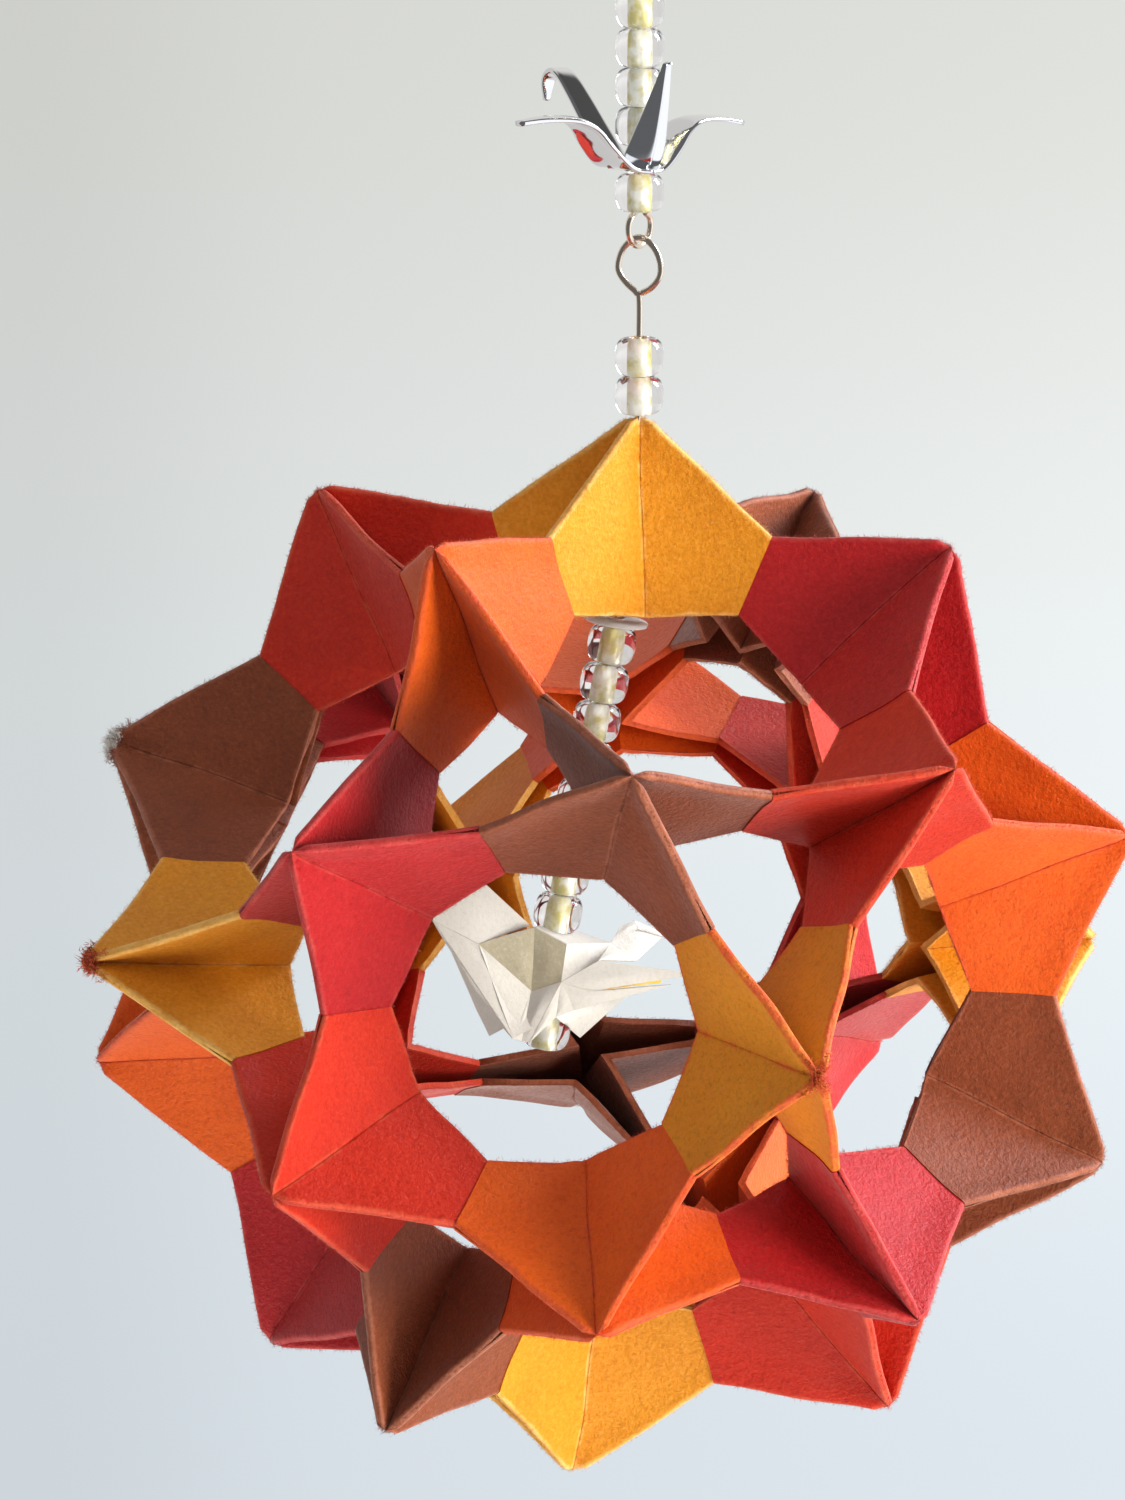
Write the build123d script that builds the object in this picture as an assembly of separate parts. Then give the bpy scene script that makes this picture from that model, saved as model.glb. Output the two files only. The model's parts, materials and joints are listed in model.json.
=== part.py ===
from build123d import *
import os
from math import acos, atan, atan2, cos, degrees, hypot, radians, sin, sqrt, tan

os.makedirs("parts", exist_ok=True)

# Driving dimensions in millimetres and degrees

# Folded sheets
paper_side = 75.0            # square of paper before folding
ball_radius = paper_side * 2 / 3     # ball centre to the peak of a sheet
ridge_slope = 39.5           # fall of the four ridges from the peak
wall = 0.6                   # four plies lying on each other
seam_width = 0.25            # slit between the outer plies along each valley
seam_depth = 0.2
joint_gap = 0.04             # each sheet stops this far short of the joint plane
tab_ply = 0.3                # pressed corner that slides into the neighbour's pocket
tab_gap = 0.06
tab_root = 2.5
sheets_per_colour = 6
colours = ["yellow", "crimson", "vermilion", "brown", "orange"]

# Hanging strand
wire = 0.6
bead_d = 4.4
bead_h = 3.45
bead_bore = 1.5
bead_pitch = 3.5
bead_bevel = 0.75
beads_above_charm = 6
inner_beads = 8
eye_width = 4.25             # between wire centres
eye_height = 5.5
link_height = 3.15
link_yaw = 62.0              # turn of the link loop from the front plane
wire_gap = 0.05              # between the two wires where the eye hangs in the link
ball_lean = 3.5
ball_phase = -68.4
throat_lean = 5.0            # wire inside the top sheet
strand_lean = 9.5            # wire below it
washer_d = 6.0
washer_h = 0.7

# Clearances and drops along the strand
seat_gap = 0.1               # between a bead and what it bears on
bore_gap = 0.12              # round the wire where it pierces the top sheet
neck_sink = 0.54             # lowest neck bead over the worn peak
neck_shaft = 3.44            # bare wire between the neck beads and the eye
charm_hub = 2.35             # from the charm's underside to the bead above it
washer_drop = 0.37           # washer below the lowest edge of the top sheet
crane_gap = 0.8              # inner beads to the middle of the crane's back
crane_drop = 7.55            # middle of the crane's back to the end bead

# Charm
metal = 0.45
wing_span = 13.4             # one wing, along its flat plan
charm_yaw = 38.0
charm_roll = 3.5             # the far wing hangs lower
charm_shift = 1.0            # the wire passes off the middle, toward the far wing

# Paper crane
crane_width = 24.4           # wing tip to tail
crane_ply = 0.3

half_side = paper_side / 4
charm_unit = wing_span / 13.4
crane_unit = crane_width / 24.4
golden = (1 + sqrt(5)) / 2
arm_spread = degrees(atan(1 / golden))


# Helpers

def meet(first, second, third):
    # Point common to three planes, each given as (normal, distance)
    (a, da), (b, db), (c, dc) = first, second, third
    whole = b.cross(c) * da + c.cross(a) * db + a.cross(b) * dc
    return whole * (1 / a.dot(b.cross(c)))


def flip(point, side_x, side_y):
    return Vector(point.X * side_x, point.Y * side_y, point.Z)


def closed(rings):
    # Solid bounded by flat polygons
    faces = [Face(Wire.make_polygon(ring, close=True)) for ring in rings]
    solid = Solid(Shell(faces))
    return solid if solid.volume > 0 else Solid(solid.wrapped.Reversed())


def plate(points, thickness):
    # Flat polygon given half its thickness to each side
    face = Face(Wire.make_polygon([Vector(*p) for p in points], close=True))
    normal = face.normal_at()
    return Solid.extrude(face.translate(normal * (-thickness / 2)), normal * thickness)


def rod(points, radii):
    path = FilletPolyline(*points, radius=radii)
    start = Plane(origin=path @ 0, z_dir=path % 0)
    return sweep(start * Circle(wire / 2), path=path)


def write(shape, name):
    export_step(shape, os.path.join("parts", name + ".step"))


# Folded sheet: peak at the origin, z outward, x to a triangle hole, y to a five-sided hole

def valley_slope(reach):
    # Fall of the valley that lies 45 degrees of paper away from both its ridges
    drop = sin(radians(ridge_slope))
    return atan2(drop, reach) + acos(sqrt(0.5) / hypot(reach, drop))


level = cos(radians(ridge_slope))
ridge = Vector(level * cos(radians(arm_spread)), level * sin(radians(arm_spread)), -sin(radians(ridge_slope)))
fall_t = valley_slope(ridge.X)
fall_p = valley_slope(ridge.Y)
valley_t = Vector(cos(fall_t), 0, -sin(fall_t))
valley_p = Vector(0, cos(fall_p), -sin(fall_p))
normal_t = valley_t.cross(ridge).normalized()
normal_p = ridge.cross(valley_p).normalized()
across_x = Vector(1, 0, 0)
across_y = Vector(0, 1, 0)
peak = Vector(0, 0, 0)

# Plane halfway to the neighbour, which mirrors one arm onto the other
tilt = radians(18)
joint_normal = Vector(
    cos(tilt) * cos(radians(arm_spread)), cos(tilt) * sin(radians(arm_spread)), -sin(tilt)
)
joint_reach = ball_radius * sin(tilt)


def arm_section(depth, reach, edge):
    # Ridge point and the two free-edge points of one arm at a joint plane, at a depth inside the faces
    face_t = (normal_t, -depth)
    face_p = (normal_p, -depth)
    cut = (joint_normal, reach)
    top = meet(face_t, face_p, cut)
    low_t = meet(face_t, cut, (valley_t, edge))
    low_p = meet(face_p, cut, (valley_p, edge))
    return top, low_t, low_p


def folded_plies():
    reach = joint_reach - joint_gap
    top, low_t, low_p = arm_section(0, reach, half_side)
    in_top, in_low_t, in_low_p = arm_section(wall, reach, half_side)
    mid_t = valley_t * half_side
    mid_p = valley_p * half_side
    in_mid_t = meet((normal_t, -wall), (across_y, 0), (valley_t, half_side))
    in_mid_p = meet((normal_p, -wall), (across_x, 0), (valley_p, half_side))
    saddle = meet((normal_t, -wall), (normal_p, -wall), (across_x, 0))
    throat = Vector(0, 0, -wall / normal_t.Z)
    rings = []
    for side_x in (1, -1):
        for side_y in (1, -1):
            arm = [
                [peak, mid_t, low_t, top],
                [peak, mid_p, low_p, top],
                [saddle, in_top, in_low_p, in_mid_p],
                [throat, saddle, in_top, in_low_t, in_mid_t],
                [mid_t, low_t, in_low_t, in_mid_t],
                [mid_p, low_p, in_low_p, in_mid_p],
                [top, low_t, in_low_t, in_top, in_low_p, low_p],
            ]
            rings += [[flip(p, side_x, side_y) for p in ring] for ring in arm]
    return closed(rings)


def seam(along, across):
    # Slit between the raw edges of the outer plies along a valley
    outward = across.cross(along)
    frame = Plane(origin=along * 1.2, x_dir=along, z_dir=outward)
    length = half_side
    return frame * Box(length, seam_width, 2 * seam_depth, align=(Align.MIN, Align.CENTER, Align.CENTER))


def tucked_corner():
    # Pressed corner: a short root under its own arm and a folded point in the neighbour's pocket
    outer = wall + tab_gap
    inner = outer + tab_ply
    edge = half_side - 0.6
    rings = []
    for depth, reach in ((wall - 0.1, joint_reach - tab_root), (wall - 0.1, joint_reach)):
        rings.append((arm_section(depth, reach, edge), arm_section(inner, reach, edge)))
    (back_top, back_t, back_p), (back_in, back_in_t, back_in_p) = rings[0]
    (top, low_t, low_p), (in_top, in_low_t, in_low_p) = rings[1]
    root = closed([
        [back_top, back_t, back_in_t, back_in, back_in_p, back_p],
        [top, low_t, in_low_t, in_top, in_low_p, low_p],
        [back_top, back_t, low_t, top],
        [back_top, back_p, low_p, top],
        [back_in, back_in_t, in_low_t, in_top],
        [back_in, back_in_p, in_low_p, in_top],
        [back_t, back_in_t, in_low_t, low_t],
        [back_p, back_in_p, in_low_p, low_p],
    ])
    top, low_t, low_p = arm_section(outer, joint_reach, edge)
    corner_run = half_side * sqrt(2) - joint_reach / ridge.dot(joint_normal)
    corner = top - ridge * corner_run
    slant = (low_t - corner).cross(low_p - corner).normalized()
    slant_cut = (slant, slant.dot(corner))
    cut = (joint_normal, joint_reach)
    in_t = (normal_t, -inner)
    in_p = (normal_p, -inner)
    in_top = meet(in_t, in_p, cut)
    in_corner = meet(in_t, in_p, slant_cut)
    in_low_t = meet(in_t, cut, slant_cut)
    in_low_p = meet(in_p, cut, slant_cut)
    point = closed([
        [top, low_t, corner],
        [top, low_p, corner],
        [in_top, in_low_t, in_corner],
        [in_top, in_low_p, in_corner],
        [top, low_t, in_low_t, in_top, in_low_p, low_p],
        [corner, low_t, in_low_t, in_corner, in_low_p, low_p],
    ])
    mirror_plane = Plane(origin=joint_normal * joint_reach, z_dir=joint_normal)
    return root, point.mirror(mirror_plane)


def folded_sheet():
    sheet = folded_plies()
    for side in (1, -1):
        sheet = sheet - seam(flip(valley_t, side, 1), across_y * side)
        sheet = sheet - seam(flip(valley_p, 1, side), across_x * -side)
    root, point = tucked_corner()
    half_turn = Rotation(0, 0, 180)
    for piece in (root, point):
        sheet = sheet + piece + half_turn * piece
    return sheet


# Places of the sheets, six to a colour on the ends of three square axes

def sheet_places():
    hub = Axis((0, 0, 0), (1, 0, golden))
    square_axes = [Vector(1, 0, 0), Vector(0, 1, 0), Vector(0, 0, 1)]
    lean = Rotation(0, ball_lean, 0) * Rotation(0, 0, ball_phase)
    hang = Location((0, 0, peak_z)) * lean * Location((0, 0, -ball_radius))
    for turn, colour in enumerate(colours):
        count = 0
        for sign in (1, -1):
            for index in (2, 0, 1):
                outward = (square_axes[index] * sign).rotate(hub, -72 * turn)
                toward_triangle = (square_axes[index - 1] * -sign).rotate(hub, -72 * turn)
                seat = Plane(origin=outward * ball_radius, x_dir=toward_triangle, z_dir=outward)
                count += 1
                yield f"{colour}_sheet_{count}", hang * seat.location


# Heights above the top sheet's peak, then on the plumb line with the hanging loop's seat at zero

eye_neck = 0.35
neck_bottom = -neck_sink
eye_top = neck_bottom + 2 * bead_pitch + neck_shaft + eye_height
link_bead_bottom = eye_top - wire - wire_gap + link_height - 0.15
charm_seat = link_bead_bottom + bead_h + seat_gap
charm_bead_bottom = charm_seat + charm_hub * charm_unit
top_of_beads = charm_bead_bottom + beads_above_charm * bead_pitch
loop_top = top_of_beads + eye_neck + eye_height
peak_z = -(loop_top - wire / 2)


def above(height):
    return peak_z + height


# Strand below the peak

washer_top = half_side * max(sin(fall_t), sin(fall_p)) + washer_drop
first_inner_bead = washer_top + washer_h + seat_gap
crane_seat = first_inner_bead + inner_beads * bead_pitch + crane_gap
end_bead_top = crane_seat + crane_drop * crane_unit
knee = Vector(-washer_top * tan(radians(throat_lean)), 0, peak_z - washer_top)
throat_run = Vector(-sin(radians(throat_lean)), 0, -cos(radians(throat_lean)))
strand_run = Vector(-sin(radians(strand_lean)), 0, -cos(radians(strand_lean)))


def below(distance):
    return knee + strand_run * ((distance - washer_top / cos(radians(throat_lean))))


def bead(diameter, height, bevel):
    half = height / 2
    outer = diameter / 2
    bore = bead_bore / 2
    profile = Polyline(
        (bore, -half), (outer - bevel, -half), (outer, -half + bevel),
        (outer, half - bevel), (outer - bevel, half), (bore, half), close=True,
    )
    return revolve(Plane.XZ * make_face(profile), Axis.Z)


def eye_points(yaw, top_z, sign):
    # Ring plane turned by yaw; sign 1 has the shaft below the ring, -1 above
    half = eye_width / 2
    rise = eye_height / 5.5
    shape = [
        (0.21 * half, -4.75 * rise), (half, -3.9 * rise), (half, -2.1 * rise), (0.28 * half, 0),
        (-0.28 * half, 0), (-half, -2.1 * rise), (-half, -3.9 * rise), (0, -eye_height),
    ]
    turn = radians(yaw)
    return [(x * cos(turn), x * sin(turn), top_z + sign * z) for x, z in shape]


eye_radii = [0.8, 0.9, 0.9, 0.9, 0.9, 0.8, 0.8]


def hanger_wire():
    # Hanging loop at the top, link loop at the bottom
    half = eye_width / 2
    rise = link_height / 3.4
    turn = radians(link_yaw)
    link_bottom = above(eye_top) - wire - wire_gap
    link_shape = [
        (0, link_height), (-half, 2.35 * rise), (-half, rise), (-0.42 * half, 0), (0.42 * half, 0),
        (half, rise), (half, 2.2 * rise), (0.24 * half, 2.75 * rise),
    ]
    link = [(x * cos(turn), x * sin(turn), link_bottom + z) for x, z in link_shape]
    radii = eye_radii + [0.5, 0.8, 0.8, 0.8, 0.8, 0.8, 0.6]
    return rod(eye_points(0, wire / 2, 1) + link, radii)


def eye_pin():
    end = below(end_bead_top + bead_h + 1.0)
    foot = end + Vector(1.5, 0, 0.25)
    points = eye_points(link_yaw - 90, above(eye_top), 1)
    points += [(0, 0, peak_z + 0.4), tuple(knee), tuple(end), tuple(foot)]
    return rod(points, eye_radii + [3.0, 3.0, 0.5])


# Metal charm: a stamped crane with two wings, neck and tail bent up around the wire

def crane_charm():
    # Shape for a wing 13.4 along, then scaled, shifted and rolled; the hole is bored plumb
    half = metal / 2 / charm_unit
    profile = [(0, half), (1.6, 0.9), (3.6, 2.8), (5.4, 4.2), (7.4, 4.8), (10.4, 4.8), (13.4, 4.4)]
    upper = [(x, z + half) for x, z in profile]
    lower = [(x, z - half) for x, z in reversed(profile)]
    side = make_face(Polyline(*upper, *lower, close=True))
    root = 6.6
    wing = extrude(Plane.XZ * side, root, both=True)
    plan = make_face(Polyline((0, -root / 2), (13.4, -0.9), (13.4, 0.2), (0, root / 2), close=True))
    wing = wing & extrude(plan, 10)
    other = Rotation(0, 0, 180) * wing.mirror(Plane.XZ)
    base = extrude(Ellipse(1.6, root / 2), 2 * half)
    neck_outline = Polyline(
        (1.8, 0.1), (5.4, 2.2), (8.4, 4.4), (10.4, 6.5), (11.4, 6.9), (12.3, 5.0), (13.0, 5.3),
        (12.9, 7.2), (12.0, 8.4), (10.8, 8.7), (9.6, 8.0), (4.4, 4.0), (1.8, 1.0), close=True,
    )
    neck = extrude(Plane.YZ * make_face(neck_outline), 0.4, both=True)
    tail = plate([(0, -2.4, 0.2), (0, -4.3, 10.2), (-2.0, -1.9, 2.2)], 2 * half)
    tail += plate([(0, -2.4, 0.2), (0, -4.3, 10.2), (2.0, -1.9, 2.2)], 2 * half)
    charm = scale(base + wing + other + neck + tail, charm_unit)
    charm = Rotation(0, charm_roll, 0) * Location((-charm_shift, 0, 0)) * charm
    return charm - Cylinder(bead_bore / 2, 4 * bead_h)


# Paper crane: one folded sheet, x to the right, z up, front face toward -y

def thick_sheet(triangles, thickness):
    # Folded surface given half its thickness to each side, along the mean normal at each corner
    lean_at = {}
    for corners in triangles:
        first, second, third = [Vector(*corner) for corner in corners]
        normal = (second - first).cross(third - first).normalized()
        for corner in corners:
            lean_at[corner] = lean_at.get(corner, Vector(0, 0, 0)) + normal

    def side(corner, sign):
        return Vector(*corner) + lean_at[corner].normalized() * (sign * thickness / 2)

    edges = [(corners[i], corners[(i + 1) % 3]) for corners in triangles for i in range(3)]
    rim = [(start, end) for start, end in edges if (end, start) not in edges]
    rings = [[side(corner, 1) for corner in corners] for corners in triangles]
    rings += [[side(corner, -1) for corner in reversed(corners)] for corners in triangles]
    for start, end in rim:
        rings.append([side(start, 1), side(start, -1), side(end, -1)])
        rings.append([side(start, 1), side(end, -1), side(end, 1)])
    return closed(rings)


def paper_crane():
    tip = (-10.5, -3.0, 8.0)
    shoulder = (-11.9, -5.0, 1.9)
    chin = (-10.2, -3.4, -1.2)
    head = (-7.1, -1.2, -8.3)
    heel = (-5.2, -2.4, -8.2)
    breast = (-7.9, -4.5, -0.3)
    fold = (-4.2, -3.2, -4.2)
    keel = (-3.5, -4.0, -9.1)
    hump = (-2.3, -1.4, 1.4)
    back = (0.1, -1.2, 0.3)
    hip = (-0.4, -3.5, -3.1)
    belly = (0.3, -1.9, -6.1)
    rump = (2.7, -2.0, -1.6)
    tail = (12.5, -1.0, -3.2)
    under_tail = (2.2, -0.6, -5.2)
    flap = (1.9, 1.0, -8.8)
    flap_side = (5.6, 1.5, -4.6)
    wing_root = (3.8, 1.0, -0.2)
    wing_front = (6.8, 2.5, -1.8)
    wing_back = (5.9, 4.5, 2.1)
    wing_end = (9.0, 5.0, 1.0)
    far_top = (-1.6, 2.2, -0.4)
    far_side = (1.2, 2.0, -3.4)
    far_low = (-1.2, 1.2, -5.8)
    near_wing = [(tip, shoulder, breast), (tip, breast, hump)]
    near_side = [
        (shoulder, chin, breast), (chin, heel, breast), (breast, heel, fold), (fold, heel, keel),
        (chin, head, heel),
    ]
    chest = [(breast, fold, hump), (hump, fold, hip), (hump, hip, back), (fold, keel, hip), (hip, keel, belly)]
    tail_side = [
        (back, hip, rump), (hip, under_tail, rump), (rump, under_tail, tail), (hip, belly, under_tail),
        (belly, flap, under_tail), (under_tail, flap, flap_side),
    ]
    far_wing = [
        (back, rump, wing_root), (wing_root, rump, wing_front), (wing_root, wing_front, wing_end),
        (wing_root, wing_end, wing_back),
    ]
    far_body = [
        (hump, back, far_top), (far_top, back, far_side), (far_top, far_side, far_low),
        (far_low, far_side, belly), (far_low, belly, keel),
    ]
    facets = near_wing + near_side + chest + tail_side + far_wing + far_body
    crane = thick_sheet(
        [tuple(tuple(number * crane_unit for number in corner) for corner in facet) for facet in facets], crane_ply
    )
    threaded = Plane(origin=strand_run * -3, z_dir=strand_run)
    return crane - threaded * Cylinder(bead_bore / 2, crane_width, align=(Align.CENTER, Align.CENTER, Align.MIN))


# Build

sheet = folded_sheet()
for name, place in sheet_places():
    placed = sheet.moved(place)
    if name == "yellow_sheet_1":
        bore = Plane(origin=(0, 0, peak_z), z_dir=throat_run) * Cylinder(
            wire / 2 + bore_gap, washer_top, align=(Align.CENTER, Align.CENTER, Align.MIN)
        )
        upright = Location((0, 0, peak_z)) * Cylinder(wire / 2 + bore_gap, 4)
        placed = placed - bore - upright
    write(placed, name)

round_bead = bead(bead_d, bead_h, bead_bevel)
write(hanger_wire(), "hanger_wire")
write(eye_pin(), "eye_pin")
for index in range(beads_above_charm):
    middle = above(top_of_beads - bead_pitch * index - bead_h / 2)
    write(round_bead.moved(Location((0, 0, middle))), f"upper_bead_{index + 1}")
write(
    round_bead.moved(Location((0, 0, above(link_bead_bottom) + bead_h / 2))),
    f"upper_bead_{beads_above_charm + 1}",
)
for index in range(2):
    middle = above(neck_bottom + bead_pitch * (1 - index) + bead_h / 2)
    write(round_bead.moved(Location((0, 0, middle))), f"neck_bead_{index + 1}")
lean = Rotation(0, strand_lean, 0)
for index in range(inner_beads):
    spot = below(first_inner_bead + bead_pitch * index + bead_h / 2)
    write(round_bead.moved(Location(tuple(spot)) * lean), f"inner_bead_{index + 1}")
spot = below(end_bead_top + bead_h / 2)
write(round_bead.moved(Location(tuple(spot)) * lean), "end_bead")
washer = bead(washer_d, washer_h, 0.2)
write(washer.moved(Location(tuple(below(washer_top + washer_h / 2 + 0.1))) * lean), "washer")
charm = crane_charm()
write(charm.moved(Location((0, 0, above(charm_seat))) * Rotation(0, 0, charm_yaw)), "crane_charm")
crane = paper_crane()
write(crane.moved(Location(tuple(below(crane_seat)))), "paper_crane")
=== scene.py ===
import bpy
import json
import math
import numpy as np
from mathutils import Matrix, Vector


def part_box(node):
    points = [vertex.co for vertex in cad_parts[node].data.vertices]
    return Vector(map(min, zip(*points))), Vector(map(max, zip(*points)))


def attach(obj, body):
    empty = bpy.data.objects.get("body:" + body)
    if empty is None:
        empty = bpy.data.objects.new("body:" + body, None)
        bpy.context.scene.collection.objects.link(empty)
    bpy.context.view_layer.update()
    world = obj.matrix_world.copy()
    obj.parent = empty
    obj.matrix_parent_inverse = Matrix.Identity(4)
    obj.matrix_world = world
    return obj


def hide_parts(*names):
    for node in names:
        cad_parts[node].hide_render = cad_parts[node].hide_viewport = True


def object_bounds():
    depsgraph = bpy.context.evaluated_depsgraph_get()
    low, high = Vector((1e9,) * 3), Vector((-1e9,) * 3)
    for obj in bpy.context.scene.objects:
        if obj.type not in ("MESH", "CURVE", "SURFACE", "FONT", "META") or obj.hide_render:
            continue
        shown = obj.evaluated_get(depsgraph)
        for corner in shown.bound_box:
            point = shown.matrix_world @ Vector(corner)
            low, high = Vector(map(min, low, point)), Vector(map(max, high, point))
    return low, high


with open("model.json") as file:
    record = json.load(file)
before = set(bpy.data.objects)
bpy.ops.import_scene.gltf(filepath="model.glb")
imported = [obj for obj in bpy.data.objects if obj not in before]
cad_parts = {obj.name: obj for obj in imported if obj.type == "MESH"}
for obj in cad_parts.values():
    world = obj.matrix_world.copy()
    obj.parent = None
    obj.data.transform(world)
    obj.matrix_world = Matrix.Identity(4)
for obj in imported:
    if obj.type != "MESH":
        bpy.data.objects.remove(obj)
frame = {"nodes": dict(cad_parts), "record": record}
nodes = frame["nodes"]
low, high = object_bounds()
print("frame", len(nodes))

# The top sheet's peak, from the lowest neck bead, which sinks a little over it
beadSink = 0.00054
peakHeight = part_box("neck_bead_2")[0].z + beadSink

# Camera, fitted to the photo
shot = {"lens": 178.9, "aside": -0.0069, "away": -0.6642, "rise": 0.0954, "pitch": math.radians(10.8)}


# Small helpers

def unit(vectors):
    # Vectors divided by their length
    vectors = np.asarray(vectors, float)
    return vectors / np.linalg.norm(vectors, axis=-1, keepdims=True)


def turned(points, axis, angle):
    # Points turned about an axis through the origin by an angle
    axis = unit(axis)
    points = np.asarray(points, float)
    along = (points @ axis)[..., None] * axis
    return along + (points - along) * math.cos(angle) + np.cross(axis, points) * math.sin(angle)


def ripple(points, size, seed):
    # Smooth unevenness round 0: twice the mean of sixteen sines with directions and phases from the seed
    rng = np.random.default_rng(seed)
    waves = unit(rng.normal(size=(16, 3))) * (2 * math.pi / size) * rng.uniform(0.6, 1.6, (16, 1))
    phases = rng.uniform(0, 2 * math.pi, 16)
    return np.sin(points @ waves.T + phases).sum(-1) / 8


def ripples(points, size, seed):
    # Three ripples as a vector
    return np.stack([ripple(points, size, seed + step) for step in range(3)], -1)


def fill(tree, shader, values):
    # Each input takes a link where its value is a socket, or else the plain value
    for label, value in values.items():
        if hasattr(value, "is_linked"):
            tree.links.new(value, shader.inputs[label])
        else:
            shader.inputs[label].default_value = value


def newMaterial(name, values):
    # A node material with its surface's constant values: itself, its tree and its surface shader
    material = bpy.data.materials.new(name)
    material.use_nodes = True
    tree = material.node_tree
    fill(tree, tree.nodes["Principled BSDF"], values)
    return material, tree, tree.nodes["Principled BSDF"]


def node(tree, kind, inputs=None, **settings):
    # A shader node with its settings and inputs
    made = tree.nodes.new(kind)
    for name, value in settings.items():
        setattr(made, name, value)
    fill(tree, made, inputs or {})
    return made


def calc(tree, operation, *values, clamp=False):
    # One arithmetic step on values or sockets
    inputs = dict(enumerate(values))
    return node(tree, "ShaderNodeMath", inputs, operation=operation, use_clamp=clamp).outputs[0]


def plus(tree, first, second):
    # Sum of two values
    return calc(tree, "ADD", first, second)


def minus(tree, first, second, clamp=False):
    # Difference of two values
    return calc(tree, "SUBTRACT", first, second, clamp=clamp)


def times(tree, first, second, clamp=False):
    # Product of two values
    return calc(tree, "MULTIPLY", first, second, clamp=clamp)


def above(tree, value, threshold, gain):
    # How far a value passes a threshold, times a gain, held between 0 and 1
    return times(tree, minus(tree, value, threshold, True), gain, True)


def blendColour(tree, amount, first, second):
    # Colour mix: the first where the amount is 0, the second where it is 1
    return node(tree, "ShaderNodeMix", {0: amount, 6: first, 7: second}, data_type="RGBA").outputs[2]


def ramp(tree, value, start, end, first=0.0, last=1.0, shape="LINEAR"):
    # The first number up to start, the last from end on, and a straight or smooth run between
    inputs = {0: value, 1: start, 2: end, 3: first, 4: last}
    return node(tree, "ShaderNodeMapRange", inputs, interpolation_type=shape).outputs[0]


def fade(tree, value, start, end):
    # 1 at start falling smoothly to 0 at end
    return ramp(tree, value, start, end, 1.0, 0.0, "SMOOTHSTEP")


def noise(tree, where, scale, detail=3.0, roughness=0.55):
    # Layered noise from 0 to 1 at a place: each octave doubles the scale and weighs the roughness less
    inputs = {"Vector": where, "Scale": scale, "Detail": detail, "Roughness": roughness}
    return node(tree, "ShaderNodeTexNoise", inputs).outputs["Fac"]


def buildMesh(name, points, faces, layers=None):
    # Smooth mesh from whole arrays, with float attributes on its points
    mesh = bpy.data.meshes.new(name)
    mesh.from_pydata(points, [], faces)
    for label, values in (layers or {}).items():
        kind = "FLOAT" if values.ndim == 1 else "FLOAT_VECTOR"
        field = "value" if values.ndim == 1 else "vector"
        layer = mesh.attributes.new(label, kind, "POINT")
        layer.data.foreach_set(field, np.ascontiguousarray(values, np.float32).ravel())
    mesh.polygons.foreach_set("use_smooth", np.full(len(mesh.polygons), True))
    mesh.update()
    piece = bpy.data.objects.new(name, mesh)
    bpy.context.scene.collection.objects.link(piece)
    return piece


class Patches:
    # Grids of points gathered into one mesh
    def __init__(self):
        # Lists of grids, quads and marks, and the points so far
        self.points, self.faces, self.marks, self.count = [], [], [], 0

    def add(self, grid, marks, flipped=False):
        # A grid's points and marks, and its quads numbered on from those before
        rows, columns = grid.shape[:2]
        index = self.count + np.arange(rows * columns).reshape(rows, columns)
        quads = np.stack([index[:-1, :-1], index[1:, :-1], index[1:, 1:], index[:-1, 1:]], -1).reshape(-1, 4)
        self.points.append(grid.reshape(-1, 3))
        self.marks.append(marks.reshape(-1, marks.shape[-1]))
        self.faces.append(quads[:, ::-1] if flipped else quads)
        self.count += rows * columns


# Folded sheets: peak at the origin, z outward, x to a three-sided opening, y to a five-sided one;
# in names T is the facet's side to the first and P to the second. Sizes in metres, angles in degrees.
# Marks hold the distances in the facet to its ridge, valley and free edge, and the code of the side
fold = {
    "radius": 0.050, "lean": 3.5, "phase": -68.4, "slope": 39.5, "joint": 18, "half": 0.01875, "wall": 0.0006,
    "gap": 0.00001, "rows": 22, "innerRows": 8, "crowding": 1.15, "innerSteps": 7, "rimSteps": 5,
    "cap": 0.00045, "capTaper": 0.173, "peakCap": 0.0017, "peakPress": 0.45, "endRun": 0.0012,
    "valleyTurn": 0.0004, "lip": 0.00004, "lipFoot": 0.00014, "lipTop": 1.45, "lipRun": 0.00032,
    "lap": 0.00012, "lapRun": 0.003, "warp": 0.00030, "warpSize": 0.014, "warpFree": 0.006,
    "ragged": 0.00018, "raggedSize": 0.0009, "raggedFine": 0.37, "raggedShares": (0.6, 0.5),
    "raggedRun": 0.0008, "wornRun": 0.0003, "wornShare": 0.7,
    "fromRidge": [0, 0.004, 0.010, 0.02, 0.035, 0.06, 0.10, 0.17, 0.28, 0.45, 0.70, 1],
    "fromValley": [0, 0.015, 0.04, 0.1, 0.25, 0.5, 0.75, 1],
}
# Codes of the side mark: 0 outside, 1 inside, 4 the crane's bowl with its painted shade, 5 its golden slit,
# and these
code = {"edge": 0.5, "hair": 2.0, "redHair": 2.4, "paleHair": 3.0}
farOff = 0.01  # A distance far from every fold
golden = (1 + math.sqrt(5)) / 2
spread = math.atan(1 / golden)
slope, tilt, lean = math.radians(fold["slope"]), math.radians(fold["joint"]), math.radians(fold["lean"])


def valleyFall(reach):
    # Fall of the valley that lies 45 degrees of paper away from both its ridges
    drop = math.sin(slope)
    return math.atan2(drop, reach) + math.acos(math.sqrt(0.5) / math.hypot(reach, drop))


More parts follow.
